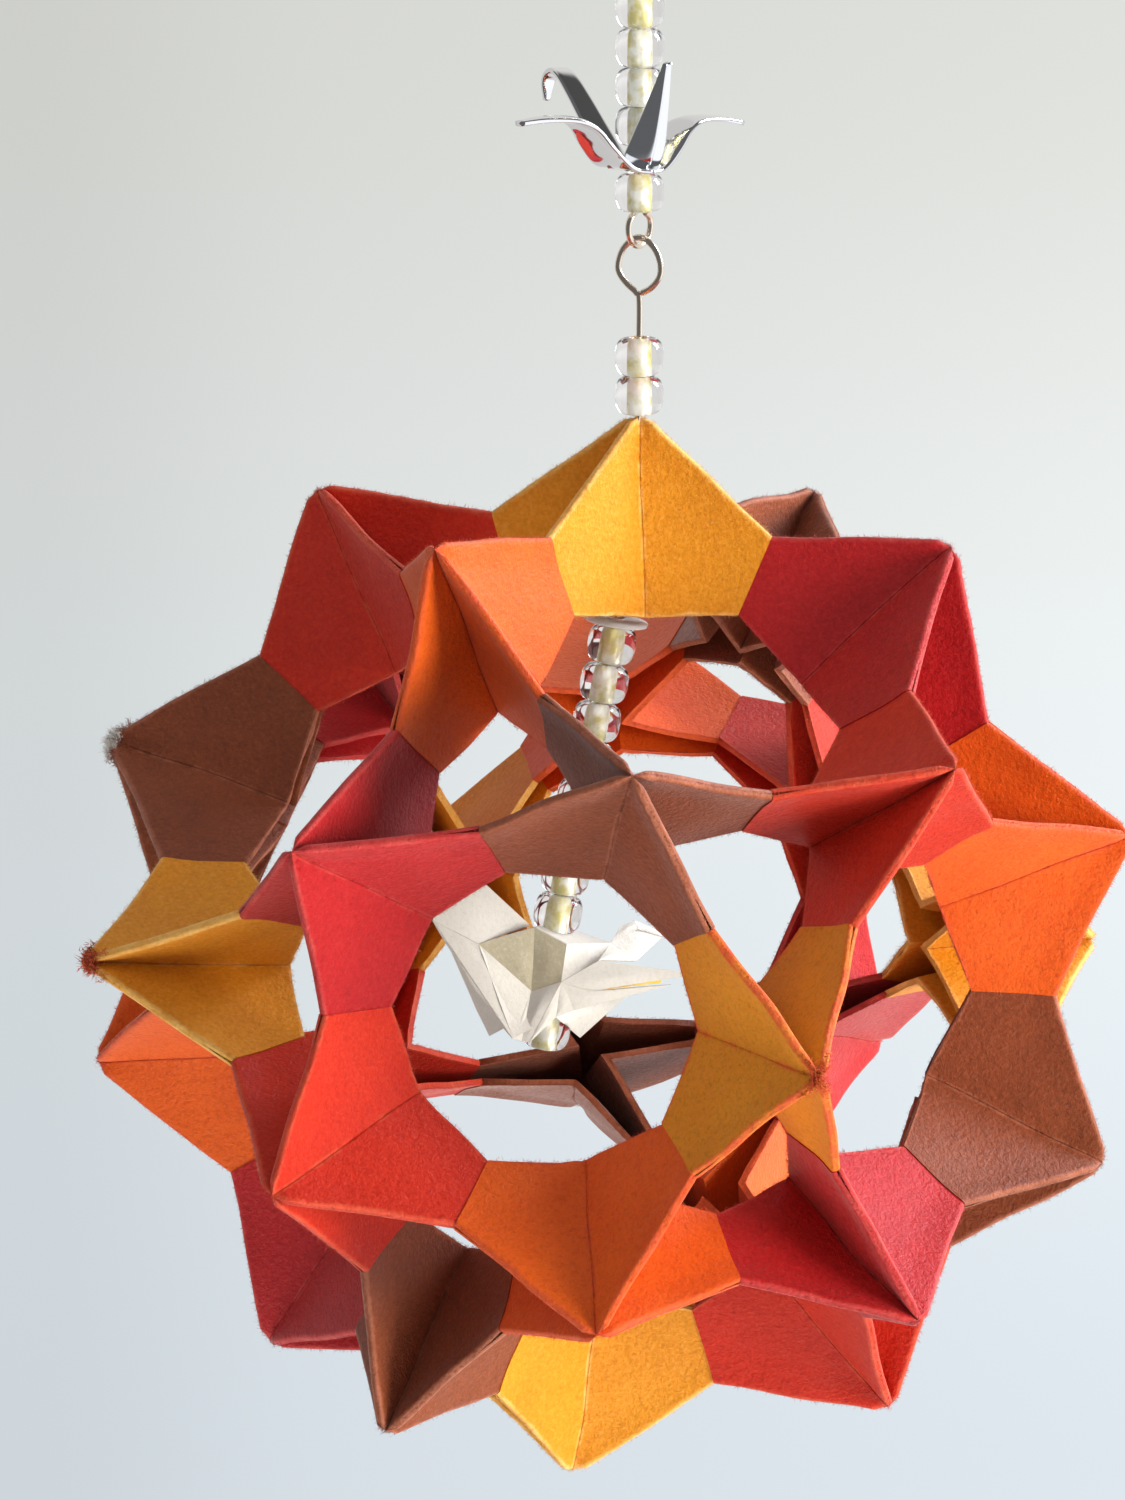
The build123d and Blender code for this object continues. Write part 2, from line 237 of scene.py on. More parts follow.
ridge = np.array([math.cos(slope) * math.cos(spread), math.cos(slope) * math.sin(spread), -math.sin(slope)])
fallT, fallP = valleyFall(ridge[0]), valleyFall(ridge[1])
valleyT = np.array([math.cos(fallT), 0, -math.sin(fallT)])
valleyP = np.array([0, math.cos(fallP), -math.sin(fallP)])
normalT = unit(np.cross(valleyT, ridge))
normalP = unit(np.cross(ridge, valleyP))
jointNormal = np.array([math.cos(tilt) * math.cos(spread), math.cos(tilt) * math.sin(spread), -math.sin(tilt)])
jointReach = fold["radius"] * math.sin(tilt) - fold["gap"]


def meet(*planes):
    # Point common to three planes given as normal and distance
    normals, distances = zip(*planes)
    return np.linalg.solve(np.array(normals), np.array(distances))


def spaced(first, last, steps):
    # Points from first to last at the given shares of the way
    return first + (last - first) * np.asarray(steps)[:, None]


def rimPath(mid, low, top):
    # Free edge and joint edge, crowded near the valley and the ridge
    toTop = 1 - np.asarray(fold["fromRidge"])[::-1]
    return np.concatenate([spaced(mid, low, fold["fromValley"])[:-1], spaced(low, top, toTop)])


def moduleArm():
    # One quarter of the sheet before any bending: each facet is a fan of rows from its pole out to its rim,
    # and a strip of the wall's thickness closes each free rim; grids with their side, facet and turn
    half, wall = fold["half"], fold["wall"]
    cut = (jointNormal, jointReach)
    faces = {0: ((normalT, 0), (normalP, 0)), 1: ((normalT, -wall), (normalP, -wall))}
    top, inTop = [meet(*faces[side], cut) for side in (0, 1)]
    lowT, inLowT = [meet(faces[side][0], cut, (valleyT, half)) for side in (0, 1)]
    lowP, inLowP = [meet(faces[side][1], cut, (valleyP, half)) for side in (0, 1)]
    midT, midP = valleyT * half, valleyP * half
    inMidT = meet(faces[1][0], ((0, 1, 0), 0), (valleyT, half))
    inMidP = meet(faces[1][1], ((1, 0, 0), 0), (valleyP, half))
    saddle = meet(*faces[1], ((1, 0, 0), 0))
    throat = np.array([0, 0, -wall / normalT[2]])
    peak = np.zeros(3)
    out = [
        (np.linspace(0, 1, fold[rows] + 1) ** fold["crowding"])[:, None, None]
        for rows in ("rows", "innerRows")
    ]
    even = np.linspace(0, 1, fold["innerSteps"])
    rims = [
        (peak, rimPath(midT, lowT, top), 0, 0),
        (peak, rimPath(midP, lowP, top), 0, 1),
        (throat, np.concatenate([
            spaced(inMidT, inLowT, even)[:-1], spaced(inLowT, inTop, even)[:-1], spaced(inTop, saddle, even),
        ]), 1, 0),
        (saddle, np.concatenate([spaced(inMidP, inLowP, even)[:-1], spaced(inLowP, inTop, even)]), 1, 1),
    ]
    patches = []
    for pole, rim, side, face in rims:
        patches.append((pole + (rim[None] - pole) * out[side], side, face, (side + face) % 2 == 1))
    across = np.linspace(0, 1, fold["rimSteps"])[:, None, None]
    for mid, low, topEnd, inMid, inLow, inEnd, face in (
        (midT, lowT, top, inMidT, inLowT, inTop, 0), (midP, lowP, top, inMidP, inLowP, inTop, 1),
    ):
        first = rimPath(mid, low, topEnd)
        second = rimPath(inMid, inLow, inEnd)
        patches.append((first[None] + (second - first)[None] * across, code["edge"], face, face == 1))
    return patches


arm = moduleArm()


def marksOf(grid, side, face):
    # From the run along the valley and the way off it: distances to the ridge, valley and free edge
    valley = (valleyT, valleyP)[face]
    run = grid @ valley
    off = np.linalg.norm(grid - run[..., None] * valley, axis=-1)
    toRidge = np.abs(run - off) / math.sqrt(2)
    return np.stack([toRidge, off, fold["half"] - run, np.full(run.shape, float(side))], -1)


def peakSink(local):
    # How far the folded peak is pressed in: a share of what the distance from it lacks to the peak's cap
    return fold["peakPress"] * np.clip(fold["peakCap"] - np.linalg.norm(local, axis=-1), 0, None)


def shapedArm(grid, marks, side, face, pocket):
    # Moved along the facet's normal: a round arc at the ridge, a lip beside the valley, a lap over a pocket
    # The inside stays and the wall's edge follows by its share; then the peak is pressed in along z
    toRidge, toValley = marks[..., 0], marks[..., 1]
    normal = (normalT, normalP)[face]
    outerness = {0: 1.0, 0.5: np.linspace(1, 0, grid.shape[0])[:, None], 1: 0.0}[side]
    depth = np.minimum(toRidge, fold["cap"])
    rounded = np.sqrt(np.maximum(2 * fold["cap"] * depth - depth ** 2, 0))
    lift = np.maximum(rounded - toRidge * fold["capTaper"], 0) * np.clip(toValley / fold["endRun"], 0, 1)
    lip = np.clip(toValley / fold["lipFoot"], 0, 1) * np.clip(fold["lipTop"] - toValley / fold["lipRun"], 0, 1)
    lip = fold["lip"] * lip * np.clip(toRidge / fold["endRun"], 0, 1) * outerness
    toJoint = jointReach - grid @ jointNormal
    lap = fold["lap"] * np.clip(1 - toJoint / fold["lapRun"], 0, 1) * outerness * pocket
    crosswise = np.eye(3)[1 - face]
    nearValley = 1 - np.clip(toValley / fold["valleyTurn"], 0, 1)
    facing = normal - (normal @ crosswise) * crosswise * nearValley[..., None]
    moved = grid + facing * (lift * outerness + lip + lap)[..., None]
    return moved - np.array([0, 0, 1.0]) * (peakSink(moved) * outerness)[..., None]


def sheetPlaces():
    # Name, outward and sideways axes of each sheet: six to a colour on the ends of three square axes,
    # turned by fifths about one hub, then by the ball's phase and lean
    hub = np.array([1, 0, golden])
    for fifth, colour in enumerate(("yellow", "crimson", "vermilion", "brown", "orange")):
        turn = math.radians(-72 * fifth)
        count = 0
        for sign in (1, -1):
            for index in (2, 0, 1):
                count += 1
                axes = np.eye(3)
                outward = turned(axes[index] * sign, hub, turn)
                sideways = turned(axes[index - 1] * -sign, hub, turn)
                both = turned(np.stack([outward, sideways]), (0, 0, 1), math.radians(fold["phase"]))
                both = turned(both, (0, 1, 0), lean)
                yield f"{colour}_sheet_{count}", both[0], both[1]


leanAxis = turned(np.array([0, 0, 1.0]), (0, 1, 0), lean)
ballCentre = np.array([0, 0, peakHeight]) - leanAxis * fold["radius"]


# Loose hairs: rows by where they stand, with their number on a quarter, looseness and scatter
hair = {
    "ridge": {"count": 360, "loose": 0.7, "scatter": 0.00005},
    "edge": {"count": 190, "loose": 0.6, "scatter": 0.00006},
    "seam": {"count": 90, "loose": 0.9, "scatter": 0.00010, "start": 0.001},
    "peak": {"count": 10, "loose": 0.8, "scatter": 0.00015, "reach": 0.0016},
    "tuft": {"count": 330, "loose": 0.9, "scatter": 0.00026, "reach": 0.0016},
    "stray": {"count": 110, "loose": 0.9, "scatter": 0.00024, "reach": 0.0030},
    "short": 0.00012, "long": 0.00045, "bend": 0.5, "thin": 0.000018, "thick": 0.000030, "thickEvery": 7,
    "coarse": 0.000045, "coarseShare": 0.9, "coarseMore": 0.00035, "coarseReach": 0.0028,
    "frayed": {
        # The pale hairs' tone is partly painted light: whitish fibres made brighter for the light shining
        # through them
        "brown_sheet_3": {"amount": 1.0, "tuft": "paleHair", "stray": "hair"},
        "yellow_sheet_6": {"amount": 0.6, "tuft": "redHair", "stray": "redHair"},
        "yellow_sheet_2": {"amount": 0.2, "tuft": "redHair", "stray": "redHair"},
    },
}


def fuzz(roots, aims, lengths, thick, seed):
    # Each hair is a three-sided spike: a ring of three points round its root, and a tip bent aside
    rng = np.random.default_rng(seed)
    count = len(roots)
    bend = unit(rng.normal(size=(count, 3)))
    side = unit(np.cross(aims, bend))
    other = unit(np.cross(aims, side))
    tips = roots + (aims + bend * hair["bend"]) * lengths[:, None]
    rings = []
    for turn in range(3):
        angle = turn * 2 * math.pi / 3
        rings.append(roots + (side * math.cos(angle) + other * math.sin(angle)) * thick[:, None])
    points = np.stack(rings + [tips], 1).reshape(-1, 3)
    start = (np.arange(count) * 4)[:, None, None]
    return points, (start + np.array([[0, 1, 3], [1, 2, 3], [2, 0, 3]])[None]).reshape(-1, 3)


def hairRoots(rng, frayed):
    # Roots, aims and codes of one quarter's hairs: random points between two ends, scattered,
    # aimed off the paper with some looseness
    cut = (jointNormal, jointReach)
    peak, upward = np.zeros(3), (0, 0, 1)
    rows = []

    def row(kind, first, last, aim, belongs="hair", amount=1):
        # A row's hairs from the first end to the last
        look = hair[kind]
        count = int(look["count"] * amount)
        roots = first + (last - first) * rng.random(count)[:, None]
        roots = roots + rng.normal(size=(count, 3)) * look["scatter"]
        aims = unit(np.asarray(aim) + rng.normal(size=(count, 3)) * look["loose"])
        rows.append((roots, aims, np.full(count, code[belongs])))

    row("ridge", peak, meet((normalT, 0), (normalP, 0), cut), unit(normalT + normalP))
    for valley, normal in ((valleyT, normalT), (valleyP, normalP)):
        end = valley * fold["half"]
        row("edge", end, meet((normal, 0), cut, (valley, fold["half"])), valley)
        row("seam", valley * hair["seam"]["start"], end, normal)
    row("peak", peak, ridge * hair["peak"]["reach"], upward)
    if frayed:
        for kind in ("tuft", "stray"):
            row(kind, peak, ridge * hair[kind]["reach"], upward, frayed[kind], frayed["amount"])
    return [np.concatenate(part) for part in zip(*rows)]


def makeSheet(name, outward, sideways, seed):
    # The arm mirrored to four quarters, moved to its seat and rippled, with ragged free edges and hairs
    rng = np.random.default_rng(seed + 20)
    frayed = hair["frayed"].get(name)
    patches, quarters = Patches(), []
    for signX, signY in ((1, 1), (1, -1), (-1, 1), (-1, -1)):
        mirror = np.array([signX, signY, 1])
        mirrored = signX * signY < 0
        for grid, side, face, flipped in arm:
            marks = marksOf(grid, side, face)
            patches.add(shapedArm(grid, marks, side, face, mirrored) * mirror, marks, flipped != mirrored)
        roots, aims, codes = hairRoots(rng, frayed)
        quarters.append((roots * mirror, aims * mirror, codes))
    roots, aims, codes = [np.concatenate(part) for part in zip(*quarters)]
    axes = np.stack([sideways, np.cross(outward, sideways), outward])
    seat = ballCentre + outward * fold["radius"]

    def bent(local):
        # Near the joints the sheet keeps its place, elsewhere ripples bend it
        toJoint = jointReach - (np.abs(local[:, :2]) @ jointNormal[:2] + local[:, 2] * jointNormal[2])
        place = seat + local @ axes
        free = fold["warp"] * np.clip(toJoint / fold["warpFree"], 0, 1)
        return place + ripples(place, fold["warpSize"], seed) * free[:, None]

    placed = bent(np.concatenate(patches.points))
    marks = np.concatenate(patches.marks)
    broad = ripple(placed, fold["raggedSize"], seed + 7) * fold["raggedShares"][0]
    rag = broad + ripple(placed, fold["raggedSize"] * fold["raggedFine"], seed + 8) * fold["raggedShares"][1]
    edge = np.clip(1 - marks[:, 2] / fold["raggedRun"], 0, 1) ** 2
    worn = np.clip(1 - marks[:, 0] / fold["wornRun"], 0, 1) * (marks[:, 3] < code["edge"])
    sunk = rag * fold["ragged"] * edge + np.abs(rag) * fold["ragged"] * fold["wornShare"] * worn
    placed = placed - outward * sunk[:, None]
    roots = bent(roots - np.array([0, 0, 1.0]) * peakSink(roots)[:, None])
    lengths = hair["short"] + (hair["long"] - hair["short"]) * rng.random(len(roots)) ** 4
    # Fibres at a frayed tip are longer and coarser
    coarse = (np.linalg.norm(roots - seat, axis=1) < hair["coarseReach"]) & bool(frayed)
    lengths = np.where(coarse, lengths * hair["coarseShare"] + hair["coarseMore"], lengths)
    thick = np.where(np.arange(len(roots)) % hair["thickEvery"] == 0, hair["thick"], hair["thin"])
    thick = np.where(coarse, hair["coarse"], thick)
    hairPoints, hairFaces = fuzz(roots, aims @ axes, lengths, thick, seed + 30)
    hairMarks = np.full((len(hairPoints), 4), farOff)
    hairMarks[:, 3] = np.repeat(codes, 4)
    marks = np.concatenate([marks, hairMarks])
    faces = np.concatenate(patches.faces).tolist() + (hairFaces + len(placed)).tolist()
    piece = buildMesh(name + "_paper", np.concatenate([placed, hairPoints]), faces, {
        "folds": marks[:, :3], "side": marks[:, 3],
    })
    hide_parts(name)
    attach(piece, "ball")
    return piece


# Papers: body, deeper tone and worn tone of ridges and edges, wear, pale sheen (the weight of a real sheen
# lobe and of a grazing sheen painted into the colour), roughness
papers = {
    "yellow_paper": {
        "body": (0.71, 0.28, 0.013), "deep": (0.60, 0.19, 0.008), "worn": (0.86, 0.50, 0.14),
        "wear": 1.1, "pale": 0.06, "rough": 0.6,
    },
    "crimson_paper": {
        "body": (0.43, 0.010, 0.012), "deep": (0.29, 0.005, 0.007), "worn": (0.55, 0.06, 0.05),
        "wear": 1.0, "pale": 0.26, "rough": 0.5, "gloss": 0.45,
    },
    "vermilion_paper": {
        "body": (0.56, 0.026, 0.009), "deep": (0.41, 0.014, 0.006), "worn": (0.62, 0.09, 0.04),
        "wear": 1.0, "pale": 0.14, "rough": 0.5,
    },
    "brown_paper": {
        "body": (0.225, 0.050, 0.013), "deep": (0.120, 0.026, 0.008), "worn": (0.38, 0.12, 0.06),
        "wear": 1.1, "pale": 0.35, "rough": 0.55, "gloss": 0.55,
    },
    "orange_paper": {
        "body": (0.73, 0.112, 0.008), "deep": (0.58, 0.058, 0.005), "worn": (0.66, 0.09, 0.03),
        "wear": 1.1, "pale": 0.18, "rough": 0.5,
    },
    "pearl_paper": {
        "body": (0.57, 0.545, 0.49), "deep": (0.54, 0.51, 0.45), "worn": (0.58, 0.55, 0.50),
        "wear": 0.5, "pale": 0.15, "rough": 0.30, "bump": 0.00007,
    },
}

# Scale, detail and roughness of the papers' noises, and what else they share
paperNoise = {
    "cloud": (160, 4, 0.6), "grain": (1500, 4, 0.75), "fleck": (700, 5, 0.7), "sparkle": (2600, 2, 0.7),
    "spots": (420, 3), "patches": (500, 3),
}
# The papers' finish: gloss and bump, the painted grazing sheen's facing blend, power, gain and pale colour,
# and the real sheen lobe's weight, roughness and tint
paperFinish = {
    "gloss": 0.35, "bump": 0.00026, "facingBlend": 0.35, "palePower": 4.5, "paleGain": 1.6,
    "pale": (0.62, 0.52, 0.50, 1), "sheen": 0.25, "sheenRough": 0.4, "sheenTint": (1, 0.86, 0.82, 1),
}
# The shade's numbers: threshold, gain and share of each patch of noise, the distances over which wear and
# the valley's seam fade, and shares of tone and height
shadeLook = {
    "cloud": (0.38, 2.4, 0.45), "grain": (0.50, 5.0, 0.55), "fleck": (0.62, 5.0, 0.25), "light": (0.52, 1.0),
    "ridge": (0.00010, 0.00052), "peak": (0.0003, 0.0012), "edge": (0.0, 0.00030), "break": 0.0009,
    "shift": -0.00040, "spots": (0.40, 4), "spotShare": 0.45, "between": 0.38, "peakShare": 0.8,
    "looseFrom": 1.5, "looseShare": 0.6, "wander": 0.00020, "seam": (0.00002, 0.00012), "seamShare": 0.12,
    "border": (0.00014, 0.00038), "patches": (0.42, 5), "borderShare": 0.7, "dark": 0.52, "darkShare": 0.65,
    "grainHeight": 0.5, "fleckHeight": 0.6, "sparkleHeight": 0.45, "seamDip": 0.2,
    "paleMiddle": 0.46, "paleGain": 5.0, "paleMean": 0.75, "paleLeast": 0.25,
}
# Tones past a code: red hairs; pale hairs, whitish fibres painted brighter for the light shining through them;
# the crane bowl's painted shade, darker than its paper; and its golden slit
codeTones = {
    2.2: (0.66, 0.09, 0.035, 1), 2.5: (0.97, 0.93, 0.86, 1), 3.5: (0.36, 0.32, 0.22, 1),
    4.5: (0.80, 0.50, 0.06, 1),
}


def paperShade():
    # Node group: the body's colour is mixed towards deep and worn by noise, by the distances to the folds
    # and by the side's code, which also paints the crane bowl's shade and brightens the pale hairs;
    # height adds the noises; pale says how much of the painted grazing sheen shows
    group = bpy.data.node_groups.new("paper shade", "ShaderNodeTree")
    for label, kind in (("Body", "Color"), ("Deep", "Color"), ("Worn", "Color"), ("Amount", "Float")):
        group.interface.new_socket(label, in_out="INPUT", socket_type="NodeSocket" + kind)
    for label, kind in (("Colour", "Color"), ("Height", "Float"), ("Pale", "Float")):
        group.interface.new_socket(label, in_out="OUTPUT", socket_type="NodeSocket" + kind)
    body, deep, worn, amount = node(group, "NodeGroupInput").outputs[:4]
    where = node(group, "ShaderNodeTexCoord").outputs["Object"]
    folds = node(group, "ShaderNodeAttribute", attribute_name="folds").outputs["Vector"]
    toRidge, toValley, toEdge = node(group, "ShaderNodeSeparateXYZ", {0: folds}).outputs
    cloud, grain, fleck, sparkle = [
        noise(group, where, *paperNoise[kind]) for kind in ("cloud", "grain", "fleck", "sparkle")
    ]
    look = shadeLook
    tone = body
    for patch, kind, towards in ((cloud, "cloud", deep), (grain, "grain", deep), (fleck, "fleck", worn)):
        threshold, gain, share = look[kind]
        tone = blendColour(group, times(group, above(group, patch, threshold, gain), share), tone, towards)
    # Wear of ridges, peak and free edges, its border broken up by the flecks
    broken = plus(group, times(group, fleck, look["break"]), look["shift"])
    ridgeWear = fade(group, minus(group, toRidge, broken), *look["ridge"])
    fromPeak = plus(group, toRidge, toValley)
    peakWear = fade(group, minus(group, fromPeak, broken), *look["peak"])
    edgeWear = fade(group, minus(group, toEdge, broken), *look["edge"])
    wear = calc(group, "MAXIMUM", ridgeWear, edgeWear)
    spots = above(group, noise(group, where, *paperNoise["spots"]), *look["spots"])
    wear = times(group, wear, plus(group, times(group, spots, look["spotShare"]), look["between"]))
    wear = calc(group, "MAXIMUM", wear, times(group, peakWear, look["peakShare"]))
    wear = times(group, wear, amount, True)
    side = node(group, "ShaderNodeAttribute", attribute_name="side").outputs["Fac"]
    loose = calc(group, "GREATER_THAN", side, look["looseFrom"])
    wear = calc(group, "MAXIMUM", wear, times(group, loose, look["looseShare"]))
    tone = blendColour(group, wear, tone, worn)
    for past, colour in codeTones.items():
        tone = blendColour(group, calc(group, "GREATER_THAN", side, past), tone, colour)
    # The valley's raw edges: a fine dark line with a lighter, patchy border
    wander = times(group, minus(group, fleck, 0.5), look["wander"])
    seam = fade(group, plus(group, toValley, wander), *look["seam"])
    beside = fade(group, plus(group, toValley, wander), *look["border"])
    patchy = above(group, noise(group, where, *paperNoise["patches"]), *look["patches"])
    border = times(group, times(group, beside, patchy), look["borderShare"])
    tone = blendColour(group, border, tone, worn)
    tone = blendColour(group, times(group, seam, look["seamShare"]), tone, deep)
    # Fine light and dark grain
    dark = times(group, minus(group, look["dark"], sparkle, True), amount, True)
    tone = blendColour(group, times(group, dark, look["darkShare"]), tone, (0, 0, 0, 1))
    tone = blendColour(group, above(group, sparkle, *look["light"]), tone, worn)
    height = plus(group, times(group, grain, look["grainHeight"]), times(group, fleck, look["fleckHeight"]))
    height = plus(group, height, times(group, sparkle, look["sparkleHeight"]))
    height = minus(group, height, times(group, seam, look["seamDip"]))
    # The painted pale sheen is broken up by the grain and keeps off the cut edges and hairs
    flat = times(group, calc(group, "ABSOLUTE", minus(group, side, 0.5)), 2, True)
    flat = times(group, flat, minus(group, 1, loose))
    pale = times(group, minus(group, sparkle, look["paleMiddle"]), look["paleGain"])
    pale = plus(group, pale, look["paleMean"])
    pale = times(group, flat, calc(group, "MAXIMUM", pale, look["paleLeast"]))
    fill(group, node(group, "NodeGroupOutput"), {"Colour": tone, "Height": height, "Pale": pale})
    return group


paperGroup = paperShade()


def paperMaterial(name, look):
    # The group's colour and bump; by a power of how far it faces away the colour goes over to the pale sheen,
    # a grazing reflection painted into the base colour
    material, tree, surface = newMaterial(name, {
        "Roughness": look["rough"], "Specular IOR Level": look.get("gloss", paperFinish["gloss"]),
        "Sheen Weight": look["pale"] * paperFinish["sheen"], "Sheen Roughness": paperFinish["sheenRough"],
        "Sheen Tint": paperFinish["sheenTint"],
    })
    shade = node(tree, "ShaderNodeGroup", node_tree=paperGroup)
    fill(tree, shade, {label.capitalize(): (*look[label], 1) for label in ("body", "deep", "worn")})
    fill(tree, shade, {"Amount": look["wear"]})
    # Painted sheen: the base colour turns pale where the paper is seen at a grazing angle
    facing = node(tree, "ShaderNodeLayerWeight", {"Blend": paperFinish["facingBlend"]}).outputs["Facing"]
    sheen = calc(tree, "POWER", facing, paperFinish["palePower"])
    sheen = times(tree, sheen, look["pale"] * paperFinish["paleGain"], True)
    sheen = times(tree, sheen, shade.outputs["Pale"], True)
    bump = node(tree, "ShaderNodeBump", {
        "Strength": 1.0, "Distance": look.get("bump", paperFinish["bump"]), "Height": shade.outputs["Height"],
    })
    fill(tree, surface, {
        "Base Color": blendColour(tree, sheen, shade.outputs["Colour"], paperFinish["pale"]),
        "Normal": bump.outputs[0],
    })
    return material


def plainMaterial(name, colour, metallic, roughness, transmission=0.0):
    # An even surface: metal, or glass where it lets light through
    return newMaterial(name, {
        "Base Color": (*colour, 1), "Metallic": metallic, "Roughness": roughness,
        "Transmission Weight": transmission,
    })[0]


slotMaterials = {name: paperMaterial(name.replace("_", " "), look) for name, look in papers.items()}
redLook = dict(papers["yellow_paper"], worn=(0.72, 0.11, 0.03), wear=1.5)
redWorn = paperMaterial("yellow paper worn red", redLook)
slotMaterials["wire"] = plainMaterial("wire", (0.93, 0.82, 0.68), 1, 0.26)
slotMaterials["charm_metal"] = plainMaterial("charm metal", (0.85, 0.85, 0.86), 1, 0.08)
slotMaterials["bead_glass"] = plainMaterial("bead glass", (1, 1, 1), 0, 0.02, 1)
washerGlass = plainMaterial("washer glass", (0.93, 0.94, 0.92), 0, 0.12, 0.55)
slotOf = {part["node"]: part["material_slot"] for part in frame["record"]["subparts"]}
for name, cadNode in nodes.items():
    cadNode.data.materials.clear()
    cadNode.data.materials.append(slotMaterials[slotOf[name]])
print("materials")

for seed, (name, outward, sideways) in enumerate(sheetPlaces()):
    piece = makeSheet(name, outward, sideways, 100 + seed * 50)
    piece.data.materials.append(redWorn if name == "yellow_sheet_2" else slotMaterials[slotOf[name]])
print("sheets")


# Beads: rounded glass rings with a lined bore, in metres
bead = {
    "outer": 0.0022, "half": 0.001725, "bore": 0.00075, "round": 2.6, "around": 40, "profile": 18,
    "shoulder": 1.35, "mouth": 1.1, "liningEnd": 0.9, "mouthEnd": 0.97,
    "lean": math.radians(9.5), "apart": 0.00010, "aside": 0.00026, "endAside": 0.0003,
}
washer = {"outer": 0.0030, "half": 0.00035, "round": 3.5, "aside": 0.0004}


def ringPiece(name, outer, half, middle, axis, body, power):
    # Closed revolve: a superellipse outside, a small mouth at each end and a straight lined bore
    bore = bead["bore"]
    steps = np.linspace(-math.pi / 2, math.pi / 2, bead["profile"])
    reach = outer - bore * bead["shoulder"]
    curved = np.abs(np.cos(steps)) ** (2 / power) * reach + bore * bead["shoulder"]
    rise = np.sign(np.sin(steps)) * np.abs(np.sin(steps)) ** (2 / power) * half
    mouth = [bore * bead["mouth"]]
    radius = np.concatenate([[bore], mouth, curved, mouth, [bore]])
    ends = half * np.array([bead["mouthEnd"], bead["liningEnd"]])
    height = np.concatenate([-ends[::-1], rise, ends])
    turns = np.linspace(0, 2 * math.pi, bead["around"], endpoint=False)
    axis = unit(axis)
    across = unit(np.cross(axis, (0.3, 1, 0)))
    third = np.cross(axis, across)
    ring = np.cos(turns)[:, None] * across + np.sin(turns)[:, None] * third
    grid = middle + radius[None, :, None] * ring[:, None] + height[None, :, None] * axis
    rows, columns = grid.shape[:2]
    index = np.arange(rows * columns).reshape(rows, columns)
    following = np.roll(index, -1, 0)
    wrapped = np.roll(index, -1, 1)
    quads = np.stack([index, following, np.roll(following, -1, 1), wrapped], -1).reshape(-1, 4)
    piece = buildMesh(name + "_glass", grid.reshape(-1, 3), quads.tolist())
    lining = np.tile(np.arange(columns) == columns - 1, rows).astype(int)
    piece.data.materials.append(slotMaterials["bead_glass"])
    piece.data.materials.append(liningMaterial)
    piece.data.polygons.foreach_set("material_index", lining)
    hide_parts(name)
    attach(piece, body)
    return piece


def middleOf(name):
    # Centre of a node's box
    lowest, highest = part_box(name)
    return np.array((lowest + highest) / 2)


# Leaf in the bores
leaf = {
    "scale": 800, "detail": 4, "threshold": 0.40, "gain": 5, "gold": (0.66, 0.58, 0.22, 1),
    "silver": (0.93, 0.92, 0.80, 1), "metallic": 0.35, "rough": 0.4,
}


def liningLook():
    # Pale gold mixed unevenly with silver by noise past a threshold
    values = {"Metallic": leaf["metallic"], "Roughness": leaf["rough"]}
    material, tree, surface = newMaterial("bead lining", values)
    where = node(tree, "ShaderNodeTexCoord").outputs["Object"]
    patch = above(tree, noise(tree, where, leaf["scale"], leaf["detail"]), leaf["threshold"], leaf["gain"])
    fill(tree, surface, {"Base Color": blendColour(tree, patch, leaf["gold"], leaf["silver"])})
    return material


liningMaterial = liningLook()
strandAxis = (-math.sin(bead["lean"]), 0, -math.cos(bead["lean"]))
for name in sorted(nodes):
    if "_bead" not in name and name != "washer":
        continue
    body = "hanger" if name.startswith("upper") else "ball"
    axis = (0, 0, 1) if name.startswith(("upper", "neck")) else strandAxis
    if name == "washer":
        place = middleOf(name) - (washer["aside"], 0, 0)
        piece = ringPiece(name, washer["outer"], washer["half"], place, axis, body, washer["round"])
        piece.data.materials[0] = washerGlass
    else:
        # The inner beads hang a little apart and to the left, like the wire in them
        count = int(name[-1]) if name.startswith("inner") else 0
        aside = bead["aside"] + bead["apart"] * count if count else bead["endAside"] * (name == "end_bead")
        place = middleOf(name) + (unit(axis) * bead["apart"] * count - (aside, 0, 0))
        ringPiece(name, bead["outer"], bead["half"], place, axis, body, bead["round"])
print("beads")


